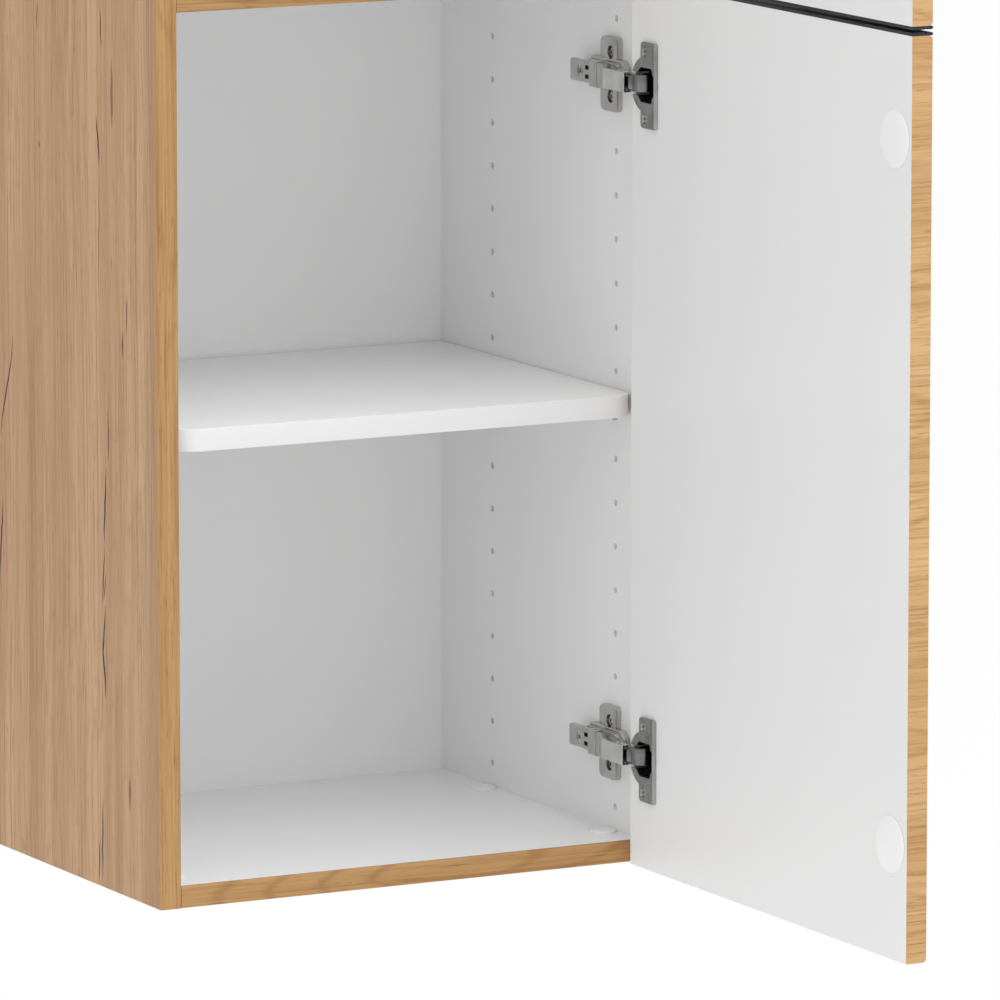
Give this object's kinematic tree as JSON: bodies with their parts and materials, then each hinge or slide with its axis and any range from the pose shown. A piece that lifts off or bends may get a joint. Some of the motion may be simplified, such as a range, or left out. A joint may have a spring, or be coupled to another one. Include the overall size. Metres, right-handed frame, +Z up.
{
  "type": "hanging wall cabinet",
  "caption": "Tall narrow wall cabinet with an oak carcass, white inside, two stacked doors on concealed cup hinges and adjustable shelves.",
  "frame": {"origin": "on the wall plane, in the middle of the cabinet's bottom edge", "axes": "+Z up, +Y towards the wall, +X to the right seen from the front; the doors are open at 90 degrees"},
  "size_m": [0.4, 0.7375, 1.29],
  "materials": {
    "oak_board": "light rustic oak decor with a vertical grain, satin",
    "oak_edge": "light oak edge band, satin",
    "door_board": "oak decor outside with a horizontal grain, white inside",
    "white_board": "white melamine, satin",
    "white_plastic": "white, satin",
    "black_profile": "black anodised, satin",
    "nickel": "nickel plated, satin",
    "dark_steel": "dark nickel plated",
    "zinc_steel": "zinc plated",
    "beech": "raw beech"
  },
  "bodies": {
    "carcass": {"left_side_panel": "oak_board", "right_side_panel": "oak_board", "bottom_panel": "white_board", "divider_panel": "white_board", "top_panel": "white_board", "left_side_edge_band": "oak_edge", "right_side_edge_band": "oak_edge", "bottom_edge_band": "oak_edge", "divider_edge_band": "oak_edge", "top_edge_band": "oak_edge", "back_panel": "white_board", "hanging_rail": "white_board", "lower_rail": "white_board", "lower_shelf": "white_board", "upper_shelf": "white_board", "shelf_pins": "zinc_steel", "connector_housings": "white_plastic", "connector_bolts": "zinc_steel", "dowels": "beech", "wall_hangers": "white_plastic", "hanger_hooks": "zinc_steel", "hanger_screws": "zinc_steel", "hinge_1_plate": "nickel", "hinge_2_plate": "nickel", "hinge_3_plate": "nickel", "hinge_4_plate": "nickel", "hinge_1_arm": "nickel", "hinge_2_arm": "nickel", "hinge_3_arm": "nickel", "hinge_4_arm": "nickel", "plate_screws": "zinc_steel", "adjusting_screws": "zinc_steel", "arm_pins": "nickel"},
    "lower_inner_links": {"hinge_1_inner_link": "dark_steel", "hinge_2_inner_link": "dark_steel"},
    "upper_inner_links": {"hinge_3_inner_link": "dark_steel", "hinge_4_inner_link": "dark_steel"},
    "lower_outer_links": {"hinge_1_outer_link": "dark_steel", "hinge_2_outer_link": "dark_steel"},
    "upper_outer_links": {"hinge_3_outer_link": "dark_steel", "hinge_4_outer_link": "dark_steel"},
    "lower_door": {"hinge_1_cup": "nickel", "hinge_2_cup": "nickel", "lower_cup_pins": "nickel", "lower_cup_screws": "zinc_steel", "lower_door_panel": "door_board", "lower_door_edge_bands": "oak_edge", "lower_grip_profile": "black_profile", "lower_cover_caps": "white_plastic"},
    "upper_door": {"hinge_3_cup": "nickel", "hinge_4_cup": "nickel", "upper_cup_pins": "nickel", "upper_cup_screws": "zinc_steel", "upper_door_panel": "door_board", "upper_door_edge_bands": "oak_edge", "upper_grip_profile": "black_profile", "upper_cover_caps": "white_plastic"}
  },
  "joints": [
    {"name": "lower_inner_link_turn", "type": "hinge", "parent": "carcass", "child": "lower_inner_links", "pos_m": [0.1666, -0.32915, 0.3225], "axis": [0, 0, 1], "range_deg": [-2.32, 51.2]},
    {"name": "lower_door_swing", "type": "hinge", "parent": "lower_inner_links", "child": "lower_door", "pos_m": [0.175, -0.3505, 0.3225], "axis": [0, 0, 1], "range_deg": [-141.15, 6.27]},
    {"name": "lower_outer_link_turn", "type": "hinge", "parent": "carcass", "child": "lower_outer_links", "pos_m": [0.1673, -0.33946, 0.3225], "axis": [0, 0, 1], "range_deg": [-3.08, 68.14]},
    {"name": "upper_inner_link_turn", "type": "hinge", "parent": "carcass", "child": "upper_inner_links", "pos_m": [0.1666, -0.32915, 0.9675], "axis": [0, 0, 1], "range_deg": [-2.32, 51.2]},
    {"name": "upper_door_swing", "type": "hinge", "parent": "upper_inner_links", "child": "upper_door", "pos_m": [0.175, -0.3505, 0.9675], "axis": [0, 0, 1], "range_deg": [-141.15, 6.27]},
    {"name": "upper_outer_link_turn", "type": "hinge", "parent": "carcass", "child": "upper_outer_links", "pos_m": [0.1673, -0.33946, 0.9675], "axis": [0, 0, 1], "range_deg": [-3.08, 68.14]}
  ],
  "couplings": [
    {"joint": "lower_inner_link_turn", "follows": "lower_door_swing", "ratio": -0.36237},
    {"joint": "lower_outer_link_turn", "follows": "lower_door_swing", "ratio": -0.48242},
    {"joint": "upper_inner_link_turn", "follows": "upper_door_swing", "ratio": -0.36237},
    {"joint": "upper_outer_link_turn", "follows": "upper_door_swing", "ratio": -0.48242}
  ]
}
